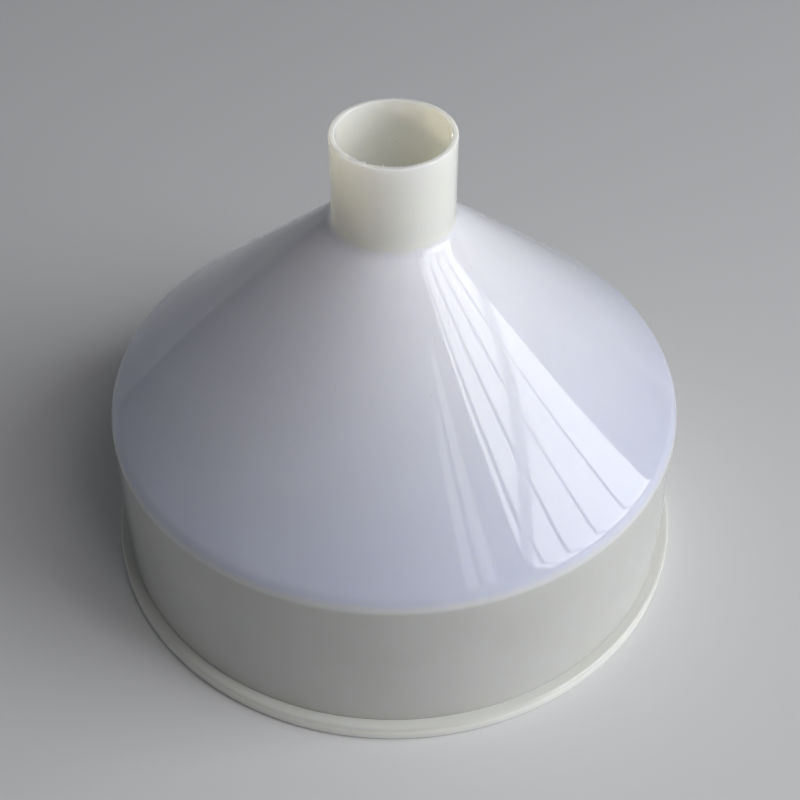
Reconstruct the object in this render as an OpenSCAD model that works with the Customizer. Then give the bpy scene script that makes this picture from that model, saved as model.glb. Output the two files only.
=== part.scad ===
// Two-section Buchner funnel, welded from natural polypropylene tube, sheet and plate.
// It stands on its rim with the stem up: z = 0 is the bench and +Z runs out of the stem.
// Standing on the bench is the filter cup (rim flange and cup wall). On the cup's inner end lie
// the filter paper, the perforated plate and its gasket. The funnel body (collar, cone, stem and
// the plate's supports) drops over them and lifts off. All lengths are in millimetres.

/* [Funnel body] */
// Outer radius where the wall's line would meet the cone's line
shoulder_r = 125; // [124.75:0.25:126]
// Height of that corner above the bench
shoulder_z = 82.75; // [82.5:0.25:95]
// Outer radius of the collar at its open edge, a little wider so that it draws off the cup
collar_edge_r = 126.2; // [125.5:0.1:127]
// Radius that rounds the shoulder
shoulder_round = 11; // [8:0.5:11.5]
// Slope of the cone above the horizontal, in degrees
cone_angle = 42.1; // [39:0.1:48]
// Thickness of the collar and of the cone
shell_t = 3; // [2:0.5:3]

/* [Stem] */
// Outer radius of the stem
stem_r = 25; // [20:0.5:28]
// Wall thickness of the stem
stem_t = 2.5; // [2:0.5:4]
// Overall height, from the bench to the stem's open end
overall_h = 213; // [200:1:240]

/* [Filter cup] */
// Outer radius of the rim flange
rim_r = 131; // [129:0.5:136]
// Thickness of the rim flange
rim_t = 7.5; // [6:0.5:9]
// Outer radius of the cup wall
cup_r = 121.5; // [120:0.25:121.5]
// Thickness of the cup wall
cup_t = 4; // [3:0.5:5]
// Height of the cup's inner end, where the paper is clamped
cup_h = 62; // [50:1:62]

/* [Filter stack] */
// Radius of the filter paper
paper_r = 120; // [119:0.5:121]
// Thickness of the filter paper
paper_t = 0.5; // [0.3:0.1:0.8]
// Thickness of the perforated plate
plate_t = 6; // [4:0.5:6]
// Radius of one hole of the plate
hole_r = 1.5; // [1:0.25:2]
// Spacing of the rings of holes
hole_pitch = 9; // [8:0.5:12]
// Thickness of the flat gasket
gasket_t = 2; // [1.5:0.5:2]
// Inner radius of the gasket and of the seat ring
seat_r = 113; // [111:0.5:115]

/* [Supports] */
// Number of radial ribs that carry the plate
ribs = 6; // [4:1:8]
// Thickness of a rib
rib_t = 4; // [3:0.5:5]
// Thickness of the seat ring
seat_t = 4; // [3:0.5:4]

/* [Hidden] */
$fn = 180;
// Sides of the circle that draws one hole
hole_sides = 24;
// The outermost ring of holes stays this far inside the gasket
hole_margin = 4.5;
// Rounding of the edges: rim, stem end, gasket, other edges
rim_round = 1.5;
stem_round = 0.5;
gasket_round = 0.2;
edge_round = 0.6;
// Size of the weld beads: at the seat, at the rim, round the foot of the stem
bead = 3;
rim_bead = 2.5;
stem_bead = 1.8;
// Heights of the filter stack, from the cup's inner end up to the seat
plate_z = cup_h + paper_t;
gasket_z = plate_z + plate_t;
seat_z = gasket_z + gasket_t;
// The ribs and the hub stop this far from the plate, which reaches them as it bows under vacuum
support_gap = 0.2;
support_z = gasket_z + support_gap;
// The collar ends and the cone shell begins here, level with the top of the bead that closes the joint
split_z = seat_z + seat_t + bead;
// The hub is a short tube with the stem's bore, so that the drain runs straight through it
bore_r = stem_r - stem_t;
hub_t = 3;
hub_r = bore_r + hub_t;
hub_top_z = 92;
// The foot of the stem is turned down by this much, and the cone's hole has the same radius
land_step = 0.6;
land_r = stem_r - land_step;
// Inside this radius the ribs leave the cone, and the filtrate runs freely down to the stem
web_top_r = 70;

// ---- Outline of the funnel body ----

// How far the wall leans outward as it goes down, in degrees
draft = atan((collar_edge_r - shoulder_r) / (shoulder_z - rim_t));
// Unit vectors from the shoulder's corner, down the wall and up the cone
wall_dir = [sin(draft), -cos(draft)];
cone_dir = [-cos(cone_angle), sin(cone_angle)];
// Half of the angle inside the corner, and the centre of its round
half_corner = acos(wall_dir * cone_dir) / 2;
into_corner = (wall_dir + cone_dir) / norm(wall_dir + cone_dir);
round_centre = [shoulder_r, shoulder_z] + into_corner * shoulder_round / sin(half_corner);

// Radius of the wall and height of the cone, on a skin that lies inset inside the outer one
function wall_r(z, inset) = shoulder_r + (shoulder_z - z) * tan(draft) - inset / cos(draft);
function cone_z(r, inset) = shoulder_z + (shoulder_r - r) * tan(cone_angle) - inset / cos(cone_angle);

// Points along an arc about centre c
function arc(c, r, from, to, steps = 5) =
    [for (i = [0:steps]) let (a = from + (to - from) * i / steps) c + r * [cos(a), sin(a)]];

// The shoulder's round, from the wall to the cone
function shoulder_arc(inset) = arc(round_centre, shoulder_round - inset, draft, 90 - cone_angle, steps = 14);

// Points along a hollow curve from a to b that is drawn towards c
function hollow(a, c, b, steps = 6) =
    [for (i = [0:steps]) let (t = i / steps) (1 - t) * (1 - t) * a + 2 * t * (1 - t) * c + t * t * b];

// Top of the bead round the foot of the stem
function stem_bead_z() = cone_z(stem_r, 0) + stem_bead;

// A ring of rectangular section with its four edges rounded
module ring(inner_r, outer_r, low, high, round) {
    rotate_extrude()
        polygon(concat(
            arc([inner_r + round, low + round], round, 180, 270),
            arc([outer_r - round, low + round], round, 270, 360),
            arc([outer_r - round, high - round], round, 0, 90),
            arc([inner_r + round, high - round], round, 90, 180)
        ));
}

// ---- Filter cup ----

// Flat ring round the cup's mouth, bevelled underneath for the weld
module rim_flange() {
    color([0.86, 0.88, 0.84])
        rotate_extrude()
            polygon(concat(
                [[cup_r + rim_bead, 0]],
                arc([rim_r - rim_round, rim_round], rim_round, 270, 360),
                arc([rim_r - rim_round, rim_t - rim_round], rim_round, 0, 90),
                [[cup_r, rim_t], [cup_r, rim_bead]]
            ));
}

// Straight tube that holds the cake, rounded at the mouth
module cup_wall() {
    color([0.86, 0.88, 0.84])
        rotate_extrude()
            polygon(concat(
                [[cup_r, 0], [cup_r, cup_h]],
                [[cup_r - cup_t, cup_h]],
                arc([cup_r - cup_t + rim_round, rim_round], rim_round, 180, 270)
            ));
}

// Bead that fills the bevel between the flange and the cup wall, dressed flush with the rim
module rim_weld_bead() {
    color([0.88, 0.9, 0.86])
        rotate_extrude()
            polygon([[cup_r, 0], [cup_r + rim_bead, 0], [cup_r, rim_bead]]);
}

// ---- Filter stack ----

module filter_paper() {
    color([0.95, 0.95, 0.93])
        translate([0, 0, cup_h])
            cylinder(r = paper_r, h = paper_t);
}

// Plate with rings of holes, each ring holding six more than the one inside it
module filter_plate() {
    rings = floor((seat_r - hole_margin) / hole_pitch);
    color([0.9, 0.91, 0.89])
        translate([0, 0, plate_z])
            linear_extrude(plate_t)
                difference() {
                    circle(r = cup_r);
                    circle(r = hole_r, $fn = hole_sides);
                    for (k = [1:rings], i = [0:6 * k - 1])
                        rotate(360 * i / (6 * k))
                            translate([k * hole_pitch, 0])
                                circle(r = hole_r, $fn = hole_sides);
                }
}

module plate_gasket() {
    color([0.8, 0.82, 0.8])
        ring(seat_r, cup_r, gasket_z, seat_z, gasket_round);
}

// ---- Funnel body ----

// Tapered wall that slips over the cup and meets the rim flange
module collar_wall() {
    low_in = wall_r(rim_t, shell_t);
    low_out = wall_r(rim_t, 0);
    color([0.86, 0.88, 0.84])
        rotate_extrude()
            polygon(concat(
                [[wall_r(split_z, shell_t), split_z]],
                [[low_in, rim_t + edge_round], [low_in + edge_round, rim_t]],
                arc([low_out - edge_round, rim_t + edge_round], edge_round, 270, 360),
                [[wall_r(split_z, 0), split_z]]
            ));
}

// Rounded shoulder and cone in one formed sheet, with a hole for the stem
module cone_shell() {
    inner = shoulder_arc(shell_t);
    color([0.84, 0.86, 0.9])
        rotate_extrude()
            polygon(concat(
                [[wall_r(split_z, 0), split_z]],
                shoulder_arc(0),
                [[land_r, cone_z(land_r, 0)], [land_r, cone_z(land_r, shell_t)]],
                [for (i = [len(inner) - 1:-1:0]) inner[i]],
                [[wall_r(split_z, shell_t), split_z]]
            ));
}

// Ledge inside the collar that bears on the gasket
module seat_ring() {
    color([0.86, 0.88, 0.84])
        rotate_extrude()
            polygon([
                [seat_r, seat_z], [wall_r(seat_z, shell_t), seat_z],
                [wall_r(seat_z + seat_t, shell_t), seat_z + seat_t], [seat_r, seat_z + seat_t]
            ]);
}

// Bead in the corner between the ledge and the collar, closing the collar's joint with the cone
module seat_weld_bead() {
    z = seat_z + seat_t;
    color([0.88, 0.9, 0.86])
        rotate_extrude()
            polygon([
                [wall_r(z, shell_t) - bead, z], [wall_r(z, shell_t), z], [wall_r(split_z, shell_t), split_z]
            ]);
}

// Straight outlet tube. Its foot is turned down to fit the cone's hole and take the weld.
module stem_tube() {
    foot_z = cone_z(land_r, shell_t);
    color([0.88, 0.88, 0.8])
        rotate_extrude()
            polygon(concat(
                [[bore_r, foot_z], [land_r, foot_z], [land_r, stem_bead_z()], [stem_r, stem_bead_z()]],
                arc([stem_r - stem_round, overall_h - stem_round], stem_round, 0, 90),
                arc([bore_r + stem_round, overall_h - stem_round], stem_round, 90, 180)
            ));
}

// Bead that fills the step at the foot of the stem and runs out onto the cone
module stem_weld_bead() {
    toe_r = stem_r + stem_bead;
    toe = [toe_r, cone_z(toe_r, 0)];
    corner = [stem_r, cone_z(stem_r, 0)];
    top = [stem_r, stem_bead_z()];
    color([0.88, 0.88, 0.82])
        rotate_extrude()
            polygon(concat(
                [[land_r, cone_z(land_r, 0)]],
                hollow(toe, (toe + top + 2 * corner) / 4, top),
                [[land_r, stem_bead_z()]]
            ));
}

// Short tube on the axis that carries the middle of the plate and the ribs' inner ends
module hub_ring() {
    color([0.86, 0.88, 0.84])
        ring(bore_r, hub_r, support_z, hub_top_z, edge_round);
}

// Radial web from the hub to the cone
module support_rib(k) {
    color([0.84, 0.86, 0.86])
        rotate([0, 0, 360 * (k - 0.5) / ribs])
            intersection() {
                rotate_extrude()
                    polygon([
                        [hub_r, support_z], [seat_r, support_z], [seat_r, cone_z(seat_r, shell_t)],
                        [web_top_r, cone_z(web_top_r, shell_t)], [hub_r, hub_top_z - 2 * edge_round]
                    ]);
                translate([0, -rib_t / 2, 0])
                    cube([shoulder_r, rib_t, overall_h]);
            }
}

rim_flange();
cup_wall();
rim_weld_bead();
filter_paper();
filter_plate();
plate_gasket();
collar_wall();
seat_ring();
seat_weld_bead();
cone_shell();
stem_tube();
stem_weld_bead();
hub_ring();
for (k = [1:ribs])
    support_rib(k);
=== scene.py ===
import math

import bmesh
import bpy
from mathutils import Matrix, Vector, noise


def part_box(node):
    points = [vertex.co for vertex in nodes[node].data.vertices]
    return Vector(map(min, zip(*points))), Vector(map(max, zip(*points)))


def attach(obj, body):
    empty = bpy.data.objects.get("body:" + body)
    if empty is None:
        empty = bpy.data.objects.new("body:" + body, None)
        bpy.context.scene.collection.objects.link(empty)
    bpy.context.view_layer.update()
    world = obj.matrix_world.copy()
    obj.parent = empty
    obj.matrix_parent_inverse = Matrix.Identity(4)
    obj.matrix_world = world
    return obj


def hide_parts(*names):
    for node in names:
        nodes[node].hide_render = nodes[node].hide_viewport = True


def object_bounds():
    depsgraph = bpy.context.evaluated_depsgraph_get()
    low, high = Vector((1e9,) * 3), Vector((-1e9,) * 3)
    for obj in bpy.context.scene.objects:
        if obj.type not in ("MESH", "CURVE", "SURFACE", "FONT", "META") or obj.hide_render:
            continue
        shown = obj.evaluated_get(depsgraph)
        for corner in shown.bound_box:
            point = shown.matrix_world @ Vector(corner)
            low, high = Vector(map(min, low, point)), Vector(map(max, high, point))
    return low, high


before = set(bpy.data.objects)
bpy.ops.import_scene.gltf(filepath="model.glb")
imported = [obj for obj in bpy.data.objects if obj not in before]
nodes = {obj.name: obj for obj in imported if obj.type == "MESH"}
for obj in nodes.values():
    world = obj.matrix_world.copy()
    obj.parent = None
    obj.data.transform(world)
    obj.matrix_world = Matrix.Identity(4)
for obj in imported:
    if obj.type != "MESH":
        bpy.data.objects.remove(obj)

cad_low, cad_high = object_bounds()
MM = 0.001


# ---- Camera, at the photograph's viewing angle ----

def add_camera():
    elevation = math.radians(44.0)
    aim = Vector((2.6, 0, 71.5)) * MM
    distance = 628 * MM
    data = bpy.data.cameras.new("camera")
    data.lens = 62.7
    data.clip_end = 80
    camera = bpy.data.objects.new("camera", data)
    bpy.context.collection.objects.link(camera)
    back = Vector((0, -math.cos(elevation), math.sin(elevation)))
    camera.location = aim + back * distance
    camera.rotation_mode = "QUATERNION"
    camera.rotation_quaternion = (-back).to_track_quat("-Z", "Y")
    bpy.context.scene.camera = camera


add_camera()


# ---- Outlines of the round CAD nodes ----

NEAR = 0.005 * MM


def seam(node, points):
    """The mesh edges of a round CAD node in the half plane y = 0, x > 0, where each turned face has
    its seam. Each edge is a pair of places in points, a list of Vectors (radius, height) that grows."""
    mesh = nodes[node].data
    edges = set()
    for edge in mesh.edges:
        ends = [mesh.vertices[i].co for i in edge.vertices]
        if any(abs(co.y) > NEAR or co.x < NEAR for co in ends):
            continue
        pair = []
        for co in ends:
            point = Vector((co.x, co.z))
            known = [i for i in range(len(points)) if (points[i] - point).length < NEAR]
            pair.append(known[0] if known else len(points))
            if not known:
                points.append(point)
        if pair[0] != pair[1]:
            edges.add(tuple(sorted(pair)))
    return edges


def split(edge, points):
    """The edge as shorter ones, divided at every point that lies on it."""
    a, b = (points[i] for i in edge)
    run = (b - a).normalized()
    along = {}
    for i, point in enumerate(points):
        if abs((point - a).cross(run)) < NEAR:
            along[i] = (point - a).dot(run)
    inside = [i for i in along if NEAR < along[i] < (b - a).length - NEAR]
    stops = [edge[0], *sorted(inside, key=along.get), edge[1]]
    return {frozenset(pair) for pair in zip(stops, stops[1:])}


def outline(*names):
    """The closed outline of round CAD nodes that lie face to face, as Vectors (radius, height). The
    edges that two of them share are inside the joined shape and drop out."""
    points = []
    seams = [seam(name, points) for name in names]
    outer = set()
    for edges in seams:
        for edge in edges:
            outer ^= split(edge, points)
    neighbours = {}
    for a, b in outer:
        neighbours.setdefault(a, []).append(b)
        neighbours.setdefault(b, []).append(a)
    start = min(neighbours)
    chain = [start, neighbours[start][0]]
    while chain[-1] != start:
        a, b = neighbours[chain[-1]]
        chain.append(a if b == chain[-2] else b)
    return [points[i] for i in chain[:-1]]


def soften(points, radius):
    """The outline with its sharp corners rounded off by small curves. Gentle corners stay."""
    gentle = math.radians(35)
    reach = 0.4
    soft = []
    for i, point in enumerate(points):
        before = points[i - 1] - point
        after = points[(i + 1) % len(points)] - point
        if math.pi - before.angle(after) < gentle:
            soft.append(point)
            continue
        a = point + before.normalized() * min(radius, reach * before.length)
        b = point + after.normalized() * min(radius, reach * after.length)
        for t in (0, 0.25, 0.5, 0.75, 1):
            soft.append(a * (1 - t) ** 2 + point * 2 * t * (1 - t) + b * t ** 2)
    return soft


def divide(points, step):
    """The outline with points added so that none is further than step from the next."""
    fine = []
    for i, point in enumerate(points):
        following = points[(i + 1) % len(points)]
        parts = max(1, math.ceil((following - point).length / step))
        fine += [point.lerp(following, k / parts) for k in range(parts)]
    return fine


# ---- Making the pieces ----

def still(angle, radius, height):
    """No change to a point of a turned piece."""
    return radius, height


def wavy(angle, radius, height):
    """The slight unevenness of formed sheet, the same on every piece so that joints stay closed."""
    place = Vector((radius * math.cos(angle), radius * math.sin(angle), height))
    broad = 0.06 * MM * noise.noise(place * 16)
    fine = 0.015 * MM * noise.noise(place * 60)
    return radius + (broad + fine), height


def add_piece(name, bm, body, replaced, material):
    """An object from bm, smooth but for its creases, that rides on body in place of CAD nodes."""
    crease = math.radians(32)
    bmesh.ops.recalc_face_normals(bm, faces=bm.faces)
    mesh = bpy.data.meshes.new(name)
    bm.to_mesh(mesh)
    bm.free()
    mesh.shade_smooth()
    mesh.set_sharp_from_angle(angle=crease)
    piece = bpy.data.objects.new(name, mesh)
    bpy.context.collection.objects.link(piece)
    mesh.materials.append(material)
    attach(piece, body)
    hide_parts(*replaced)
    return piece


def turned(name, replaced, body, material, shape=still, edge=0.3 * MM, step=3 * MM, sectors=288):
    """A finer piece in place of round CAD nodes. shape moves each of its points. edge is how far its
    rounded edges reach, and step and sectors are how finely it is divided."""
    profile = divide(soften(outline(*replaced), edge), step)
    bm = bmesh.new()
    rings = []
    for i in range(sectors):
        angle = 2 * math.pi * i / sectors
        ring = []
        for point in profile:
            radius, height = shape(angle, point.x, point.y)
            ring.append(bm.verts.new((radius * math.cos(angle), radius * math.sin(angle), height)))
        rings.append(ring)
    for i, ring in enumerate(rings):
        following = rings[(i + 1) % sectors]
        for k in range(len(profile)):
            j = (k + 1) % len(profile)
            bm.faces.new((ring[k], following[k], following[j], ring[j]))
    return add_piece(name, bm, body, replaced, material)


# ---- Materials ----

class Shader:
    """A Principled material that is put together from named nodes."""

    def __init__(self, name):
        self.material = bpy.data.materials.new(name)
        self.material.use_nodes = True
        self.tree = self.material.node_tree
        self.principled = self.tree.nodes["Principled BSDF"]
        self.place = self.add("ShaderNodeTexCoord").outputs["Object"]

    def add(self, kind, **settings):
        node = self.tree.nodes.new(kind)
        for key, value in settings.items():
            setattr(node, key, value)
        return node

    def link(self, output, target):
        self.tree.links.new(output, target)

    def set(self, **values):
        """Constants on the Principled shader's own sockets."""
        for key, value in values.items():
            self.principled.inputs[key.replace("_", " ")].default_value = value

    def noise(self, size, detail=2.0, stretch=(1, 1, 1)):
        """Noise whose features are about size across, in metres."""
        mapping = self.add("ShaderNodeMapping")
        mapping.inputs["Scale"].default_value = stretch
        self.link(self.place, mapping.inputs["Vector"])
        texture = self.add("ShaderNodeTexNoise")
        texture.inputs["Scale"].default_value = 1 / size
        texture.inputs["Detail"].default_value = detail
        self.link(mapping.outputs["Vector"], texture.inputs["Vector"])
        return texture.outputs["Fac"]

    def range(self, value, low, high, to_low, to_high):
        """to_low where value is low and below, to_high where it is high and above."""
        node = self.add("ShaderNodeMapRange")
        self.link(value, node.inputs["Value"])
        limits = {"From Min": low, "From Max": high, "To Min": to_low, "To Max": to_high}
        for socket, number in limits.items():
            node.inputs[socket].default_value = number
        return node.outputs["Result"]

    def mix(self, factor, a, b):
        """a where factor is 0 and b where it is 1. Each may be a colour or an output."""
        node = self.add("ShaderNodeMix", data_type="RGBA")
        self.link(factor, node.inputs["Factor"])
        for socket, value in ((6, a), (7, b)):
            if isinstance(value, bpy.types.NodeSocket):
                self.link(value, node.inputs[socket])
            else:
                node.inputs[socket].default_value = (*value, 1)
        return node.outputs[2]

    def combine(self, a, b, operation="ADD"):
        """The sum of an output and a number or output, or what another operation makes of them."""
        node = self.add("ShaderNodeMath", operation=operation)
        self.link(a, node.inputs[0])
        if isinstance(b, bpy.types.NodeSocket):
            self.link(b, node.inputs[1])
        else:
            node.inputs[1].default_value = b
        return node.outputs[0]

    def height(self):
        separate = self.add("ShaderNodeSeparateXYZ")
        self.link(self.place, separate.inputs["Vector"])
        return separate.outputs["Z"]

    def edges(self):
        """1 on outside edges, 0 on flat stretches."""
        pointiness = self.add("ShaderNodeNewGeometry").outputs["Pointiness"]
        return self.range(pointiness, 0.53, 0.62, 0, 1)

    def bump(self, height, depth, under=None):
        """The normal of a surface that height, from 0 to 1, raises by up to depth, over bump under."""
        node = self.add("ShaderNodeBump")
        node.inputs["Distance"].default_value = depth
        node.inputs["Strength"].default_value = 1
        self.link(height, node.inputs["Height"])
        if under is not None:
            self.link(under, node.inputs["Normal"])
        return node.outputs["Normal"]

    def finish(self, colour, roughness, normal):
        self.link(colour, self.principled.inputs["Base Color"])
        self.link(roughness, self.principled.inputs["Roughness"])
        self.link(normal, self.principled.inputs["Normal"])
        return self.material


def natural_plastic(name, tone, painted_light_changes=(), depth=2.5 * MM, deeper=()):
    """Milky unpigmented polypropylene. A tone is its pale and its deep colour, which lie cloudily
    side by side. The tone changes are (low, high, tone) from the foot up: between those two heights
    the colour passes over into the next tone. They paint light and shade onto the one plastic, as
    lighter and darker copies of it by height. depth is how far light scatters under the surface, and
    deeper are (low, high, more): it grows by more between those two heights, or falls if more is
    negative."""
    s = Shader(name)
    cloud = s.range(s.noise(45 * MM, 3), 0.35, 0.65, 0, 1)
    colour = s.mix(cloud, tone[1], tone[0])
    for low, high, (pale, deep) in painted_light_changes:
        share = s.range(s.height(), low, high, 0, 1)
        colour = s.mix(share, colour, s.mix(cloud, deep, pale))
    fleck = s.range(s.noise(1.1 * MM, 1), 0.77, 0.8, 0, 0.35)
    colour = s.mix(fleck, colour, tuple(c * 0.72 for c in tone[1]))
    # Lighter on outside edges: edge wear, and a painted glint where the burrs of the stem's sawn end
    # stand up.
    lighter_edges = s.edges()
    colour = s.mix(lighter_edges, colour, (0.9, 0.92, 0.9))
    haze = s.range(s.noise(28 * MM, 4), 0.4, 0.7, 0.035, 0.065)
    marks = s.range(s.noise(0.9 * MM, 3), 0.6, 0.75, 0, 0.03)
    roughness = s.combine(s.combine(haze, marks), s.combine(lighter_edges, 0.2, "MULTIPLY"))
    skin = s.bump(s.noise(9 * MM, 2), 0.009 * MM)
    normal = s.bump(s.noise(0.7 * MM, 2), 0.0005 * MM, under=skin)
    s.set(IOR=1.5, Subsurface_Weight=1.0, Subsurface_Radius=(1.0, 0.95, 0.8), Subsurface_Scale=depth)
    s.set(Subsurface_Anisotropy=0.3)
    if deeper:
        scatter = s.range(s.height(), deeper[0][0], deeper[0][1], depth, depth + deeper[0][2])
        for low, high, more in deeper[1:]:
            scatter = s.combine(scatter, s.range(s.height(), low, high, 0, more))
        s.link(scatter, s.principled.inputs["Subsurface Scale"])
    return s.finish(colour, roughness, normal)


def drilled_plate():
    """Planed white plate, with the cutter's rings on its faces."""
    s = Shader("drilled_plate")
    cloud = s.range(s.noise(30 * MM, 3), 0.35, 0.65, 0, 1)
    colour = s.mix(cloud, (0.72, 0.74, 0.7), (0.8, 0.81, 0.78))
    rings = s.add("ShaderNodeTexWave", wave_type="RINGS", rings_direction="Z")
    rings.inputs["Scale"].default_value = 160
    rings.inputs["Distortion"].default_value = 0.4
    s.link(s.place, rings.inputs["Vector"])
    lighter_edges = s.edges()
    colour = s.mix(lighter_edges, colour, (0.9, 0.9, 0.88))
    roughness = s.range(s.noise(6 * MM, 3), 0.3, 0.7, 0.38, 0.52)
    normal = s.bump(rings.outputs["Fac"], 0.01 * MM, under=s.bump(s.noise(0.6 * MM, 2), 0.004 * MM))
    s.set(IOR=1.49, Subsurface_Weight=0.3, Subsurface_Radius=(1.0, 0.95, 0.85), Subsurface_Scale=2 * MM)
    return s.finish(colour, roughness, normal)


def silicone():
    """Grey-white rubber, matt with a little dust."""
    s = Shader("silicone")
    cloud = s.range(s.noise(9 * MM, 3), 0.35, 0.65, 0, 1)
    colour = s.mix(cloud, (0.62, 0.62, 0.59), (0.72, 0.72, 0.69))
    dust = s.range(s.noise(0.5 * MM, 2), 0.62, 0.72, 0, 0.5)
    colour = s.mix(dust, colour, (0.82, 0.82, 0.8))
    roughness = s.range(s.noise(4 * MM, 3), 0.3, 0.7, 0.5, 0.68)
    normal = s.bump(s.noise(0.35 * MM, 2), 0.02 * MM)
    s.set(IOR=1.41, Subsurface_Weight=0.25, Subsurface_Radius=(1.0, 0.95, 0.9), Subsurface_Scale=2 * MM)
    return s.finish(colour, roughness, normal)


def filter_paper_stock():
    """Soft cellulose with matted fibres and a faint forming mesh."""
    s = Shader("filter_paper_stock")
    flock = s.noise(2.2 * MM, 5)
    fibres = s.combine(s.noise(0.3 * MM, 2, (1, 0.12, 1)), s.noise(0.3 * MM, 2, (0.12, 1, 1)), "MAXIMUM")
    colour = s.mix(s.range(flock, 0.35, 0.65, 0, 1), (0.78, 0.77, 0.73), (0.87, 0.86, 0.83))
    colour = s.mix(s.range(fibres, 0.62, 0.75, 0, 0.5), colour, (0.93, 0.92, 0.9))
    roughness = s.range(flock, 0.3, 0.7, 0.86, 0.95)
    normal = s.bump(fibres, 0.08 * MM, under=s.bump(flock, 0.15 * MM))
    s.set(Sheen_Weight=0.15, Specular_IOR_Level=0.25)
    return s.finish(colour, roughness, normal)


# Painted glow: the rim flange's outer face is given a brighter tone than the same plastic elsewhere.
RIM_PAINTED_GLOW_TONE = ((0.92, 0.915, 0.86), (0.90, 0.895, 0.83))
# Painted shade: the rim flange's top face is given a darker tone than its outer face.
RIM_TOP_PAINTED_SHADE_TONE = ((0.735, 0.74, 0.705), (0.715, 0.72, 0.68))
WALL_TONE = ((0.65, 0.65, 0.62), (0.62, 0.62, 0.585))
# Painted highlight: a thin light line along the shoulder where the collar meets the cone.
SHOULDER_PAINTED_HIGHLIGHT_TONE = ((0.76, 0.765, 0.765), (0.74, 0.745, 0.745))
# Painted reflection and shade: the cone's foot bluish and darker, for a reflected sky and less light.
CONE_FOOT_PAINTED_REFLECTION_AND_SHADE_TONE = ((0.66, 0.685, 0.80), (0.63, 0.655, 0.77))
# Painted light: the cone lighter towards the stem, for light coming through it there.
CONE_TOP_PAINTED_LIGHT_TONE = ((0.86, 0.85, 0.89), (0.83, 0.82, 0.86))
# Painted glow: the stem lighter and warmer, for light passing through its thin wall.
STEM_PAINTED_GLOW_TONE = ((0.97, 0.94, 0.80), (0.955, 0.92, 0.76))

rim_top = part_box("rim_flange")[1].z
cone_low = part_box("cone_shell")[0].z
bead_low, bead_high = (corner.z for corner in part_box("stem_weld_bead"))
stem_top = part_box("stem_tube")[1].z
stem_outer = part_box("stem_tube")[1].x

# Painted light and shade by height on one plastic: a shoulder highlight, reflection and shade on the
# cone's foot, light towards the cone's top and a glow on the stem.
SHELL = natural_plastic("natural_pp_shell", WALL_TONE, painted_light_changes=(
    (cone_low - 0.5 * MM, cone_low + 1 * MM, SHOULDER_PAINTED_HIGHLIGHT_TONE),
    (cone_low + 2 * MM, cone_low + 5 * MM, CONE_FOOT_PAINTED_REFLECTION_AND_SHADE_TONE),
    (cone_low + 10 * MM, bead_low, CONE_TOP_PAINTED_LIGHT_TONE),
    (bead_high - 1.5 * MM, bead_high + 1.5 * MM, STEM_PAINTED_GLOW_TONE),
), depth=0.6 * MM, deeper=(
    (rim_top, rim_top + 9 * MM, 5.9 * MM),
    (bead_high - 2 * MM, bead_high + 4 * MM, 3 * MM),
))
# The rim flange: a painted glow on its outer face and painted shade on its top.
RIM = natural_plastic("natural_pp_rim", RIM_PAINTED_GLOW_TONE, painted_light_changes=(
    (rim_top - 2.2 * MM, rim_top - 0.6 * MM, RIM_TOP_PAINTED_SHADE_TONE),
), depth=6 * MM, deeper=(
    (rim_top - 4 * MM, rim_top - 1 * MM, -5.5 * MM),
))
CREAM = natural_plastic("natural_pp_cream", WALL_TONE)
PLATE = drilled_plate()
SILICONE = silicone()
PAPER = filter_paper_stock()


# ---- Pieces ----

def sawn(angle, radius, height):
    """The stem's open end: a saw cut, with burrs left on the inner edge towards the front left."""
    rim = Vector((math.cos(angle), math.sin(angle), 0))
    uneven = 0.08 * MM * noise.noise(rim * 4) + 0.04 * MM * noise.noise(rim * 30)
    front_left = Vector((-0.45, -0.89, 0))
    torn = max(0, rim.dot(front_left) - 0.8) / 0.2
    burr = torn * max(0, noise.noise(rim * 45)) * 3.2 * MM
    bore_edge = stem_outer - 1.6 * MM
    inner = 1 if radius < bore_edge else 0
    return radius - inner * 0.6 * burr, height + min(0, uneven) + inner * 0.2 * burr


def rippled(angle, radius, height):
    """A weld bead laid by hand: a ripple for each small step of the rod."""
    around = Vector((math.cos(angle), math.sin(angle), 0))
    ripples = 72
    phase = angle * ripples + 2.5 * noise.noise(around * 3)
    ripple = 0.02 * MM * math.sin(phase) + 0.1 * MM * noise.noise(around * 7)
    outside = max(0, radius - stem_outer) / MM
    return radius + ripple * min(1, outside), height - ripple * min(1, outside) * 0.6


def funnel_surface(angle, radius, height):
    """The funnel body's surface: the stem's sawn end, its bead, and below them the uneven sheet, which
    starts out even next to the stem so that it meets it squarely."""
    if height > stem_top - 0.8 * MM:
        return sawn(angle, radius, height)
    if height > bead_low - 0.1 * MM:
        return rippled(angle, radius, height)
    run_in = 20 * MM
    share = max(0, min(1, (radius - stem_outer) / run_in))
    return radius + (wavy(angle, radius, height)[0] - radius) * share, height


turned("rim_flange_turned", ["rim_flange"], "filter_cup", RIM, shape=wavy)
turned("cup_wall_turned", ["cup_wall"], "filter_cup", CREAM)
turned("rim_weld_bead_turned", ["rim_weld_bead"], "filter_cup", CREAM,
       edge=0.05 * MM)
turned("plate_gasket_turned", ["plate_gasket"], "plate", SILICONE)
turned("funnel_shell", ["collar_wall", "cone_shell", "stem_weld_bead", "stem_tube"], "funnel_body",
       SHELL, shape=funnel_surface, edge=0.12 * MM, step=4 * MM, sectors=576)
turned("seat_ring_turned", ["seat_ring"], "funnel_body", CREAM, edge=0.2 * MM)
turned("seat_weld_bead_turned", ["seat_weld_bead"], "funnel_body", CREAM,
       edge=0.1 * MM)
turned("hub_ring_turned", ["hub_ring"], "funnel_body", CREAM)


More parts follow.
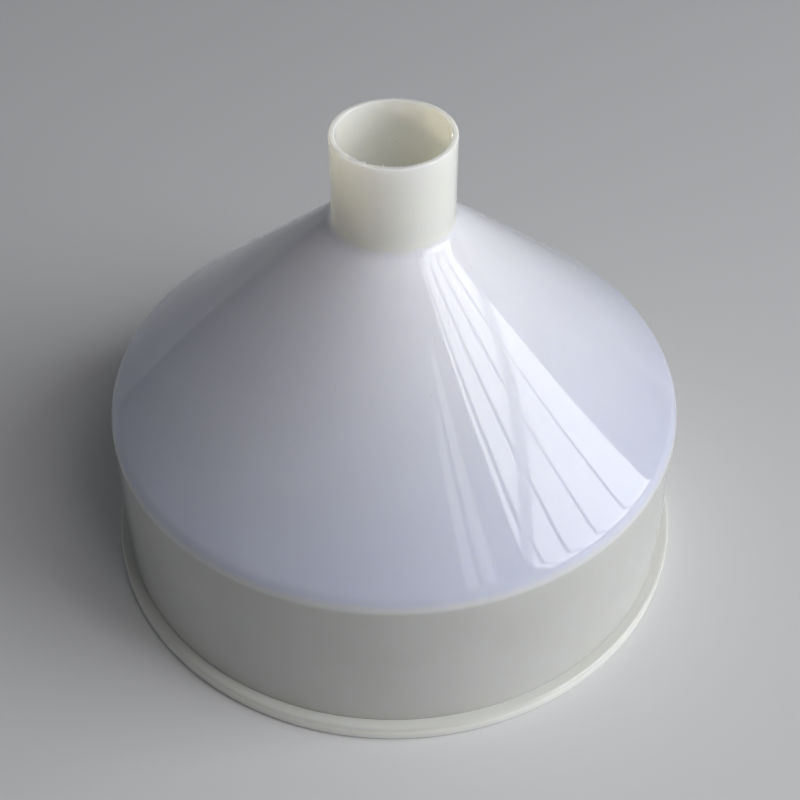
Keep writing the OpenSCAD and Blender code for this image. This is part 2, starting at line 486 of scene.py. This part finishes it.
def add_paper():
    """The filter paper: a cut disc, flat where the cup's end bears on it and cockled inside that."""
    low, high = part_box("filter_paper")
    cup_wall_t = 4 * MM
    free_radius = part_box("cup_wall")[1].x - cup_wall_t
    sag = 0.9 * MM
    uneven_cut = 0.12 * MM
    rounds = 40
    sectors = 180
    bm = bmesh.new()

    def skin(z):
        """One face of the disc, which lies at height z where it is held. Gives its outermost points."""
        rings = [[bm.verts.new((0, 0, z - sag))]]
        for k in range(1, rounds + 1):
            share = k / rounds
            ring = []
            for i in range(sectors):
                angle = 2 * math.pi * i / sectors
                around = Vector((math.cos(angle), math.sin(angle), 0))
                radius = share * (high.x + uneven_cut * noise.noise(around * 9) - uneven_cut)
                loose = max(0, 1 - (radius / free_radius) ** 2)
                cockle = 0.5 * MM * noise.noise(around * radius * 38) * min(1, 3 * loose)
                drop = sag * loose + abs(cockle) * min(1, loose * 4)
                ring.append(bm.verts.new((radius * around.x, radius * around.y, z - drop)))
            rings.append(ring)
        for i in range(sectors):
            j = (i + 1) % sectors
            bm.faces.new((rings[0][0], rings[1][i], rings[1][j]))
            for inner, outer in zip(rings[1:], rings[2:]):
                bm.faces.new((inner[i], outer[i], outer[j], inner[j]))
        return rings[-1]

    lower, upper = skin(low.z), skin(high.z)
    for i in range(sectors):
        j = (i + 1) % sectors
        bm.faces.new((lower[i], lower[j], upper[j], upper[i]))
    paper = add_piece("filter_paper_disc", bm, "paper", ["filter_paper"], PAPER)


add_paper()


def finish_node(name, material):
    """A better material on a CAD node that stays as it is."""
    mesh = nodes[name].data
    for i in range(len(mesh.materials)):
        mesh.materials[i] = material


for name in nodes:
    if name.startswith("support_rib_"):
        finish_node(name, CREAM)
finish_node("filter_plate", PLATE)


# ---- Studio ----

def add_floor():
    """A pale matt floor, a hair below the object and wide enough to fill every view of it."""
    s = Shader("floor")
    grain = s.noise(0.4, 3)
    colour = s.mix(grain, (0.70, 0.70, 0.70), (0.73, 0.73, 0.73))
    roughness = s.range(grain, 0.3, 0.7, 0.5, 0.55)
    material = s.finish(colour, roughness, s.bump(s.noise(0.01), 0.00001))
    bm = bmesh.new()
    bmesh.ops.create_grid(bm, x_segments=2, y_segments=2, size=30)
    mesh = bpy.data.meshes.new("floor")
    bm.to_mesh(mesh)
    bm.free()
    mesh.materials.append(material)
    floor = bpy.data.objects.new("floor", mesh)
    floor.location.z = cad_low.z - 0.0002
    bpy.context.collection.objects.link(floor)


def direction(azimuth):
    """Level unit vector. 0 degrees points from the object towards the camera's side, 90 along +X."""
    return Vector((math.sin(math.radians(azimuth)), -math.cos(math.radians(azimuth)), 0))


def add_panel(name, azimuth, distance, left, right, low, high, radiance, colour):
    """An upright glowing panel that faces the object. Its plane stands distance away, square to
    azimuth. Its edges are in metres, left and right across the plane, and low and high above the
    middle of the cone."""
    cone_middle = 0.12
    ahead = direction(azimuth)
    side = direction(azimuth + 90)
    height = (low + high) / 2 + cone_middle
    centre = ahead * distance + side * (left + right) / 2 + Vector((0, 0, height))
    add_area(name, centre, -ahead, right - left, high - low, radiance, colour)


def add_area(name, centre, facing, width, height, radiance, colour):
    """A rectangular area light that glows evenly with that radiance."""
    data = bpy.data.lights.new(name, "AREA")
    data.shape = "RECTANGLE"
    data.size = width
    data.size_y = height
    data.energy = radiance * math.pi * width * height
    data.color = colour
    light = bpy.data.objects.new(name, data)
    light.location = centre
    light.rotation_mode = "QUATERNION"
    light.rotation_quaternion = facing.to_track_quat("-Z", "Y")
    bpy.context.collection.objects.link(light)
    return light


def add_fill(name, place, aim, size, radiance, colour, spread=180):
    """A light that the picture and the object's gloss don't show. spread, in degrees, narrows it."""
    place = Vector(place)
    light = add_area(name, place, Vector(aim) - place, *size, radiance, colour)
    light.data.spread = math.radians(spread)
    light.visible_glossy = False
    light.visible_camera = False


def add_lights():
    """A divided softbox to the right in two rows with a dimmer sash between them, two dim narrow
    strips beside it, and soft fills. Its bars, rows and panes are in shares of its distance."""
    azimuth = 60
    distance = 2.2
    thin, thick = 0.022, 0.034
    glow = 5.0
    white = (0.95, 0.97, 1.0)

    def add_pane(name, left, right, low, high, radiance):
        edges = [share * distance for share in (left, right, low, high)]
        add_panel(name, azimuth, distance, *edges, radiance, white)

    lower = (0.08, 0.695, thin, (-0.15, -0.08, 0.085, 0.29, 0.545, 0.87))
    upper = (0.745, 1.3, thick, (-0.19, -0.115, 0.08, 0.30, 0.545, 0.82))
    for low, high, bar, across in (lower, upper):
        for left, right in zip(across, across[1:]):
            add_pane(f"window_{low:.2f}_{left:.2f}", left + bar / 2, right - bar / 2, low, high, glow)
    add_pane("sash", -0.17, 0.845, 0.695, 0.745, 0.35 * glow)
    for left, right in ((-0.64, -0.535), (-0.49, -0.385)):
        add_pane(f"strip_{left:.2f}", left, right, 0.7, 1.3, 0.3 * glow)
    centre = Vector((0, 0, 0))
    above_stem = Vector((0, 0, stem_top + 15 * MM))
    add_fill("front", (0.4, -1.5, 1.9), centre, (1.8, 1.4), 0.40, (0.94, 0.92, 0.95))
    add_fill("near", (0.15, -0.25, 0.6), above_stem, (0.25, 0.25), 3.6, (1.0, 0.97, 0.98))
    add_fill("stem", (-0.61, -0.36, 0.4), above_stem, (0.08, 0.08), 0.3, (1.0, 0.87, 0.66), spread=6)
    add_fill("overhead", (0, -0.2, 2.4), (0, -0.2, 0), (2.4, 2.0), 0.06, (0.8, 0.87, 1.0))
    add_fill("behind", (-1.6, 1.9, 0.55), centre, (2.0, 1.0), 0.7, (0.92, 0.95, 1.0))


def set_world():
    """A dim, even light all round, and tones that are shown as they are."""
    world = bpy.data.worlds.new("studio")
    world.use_nodes = True
    background = world.node_tree.nodes["Background"]
    background.inputs["Color"].default_value = (0.9, 0.95, 1.0, 1)
    background.inputs["Strength"].default_value = 0.05
    bpy.context.scene.world = world
    bpy.context.scene.view_settings.view_transform = "Standard"


add_floor()
add_lights()
set_world()
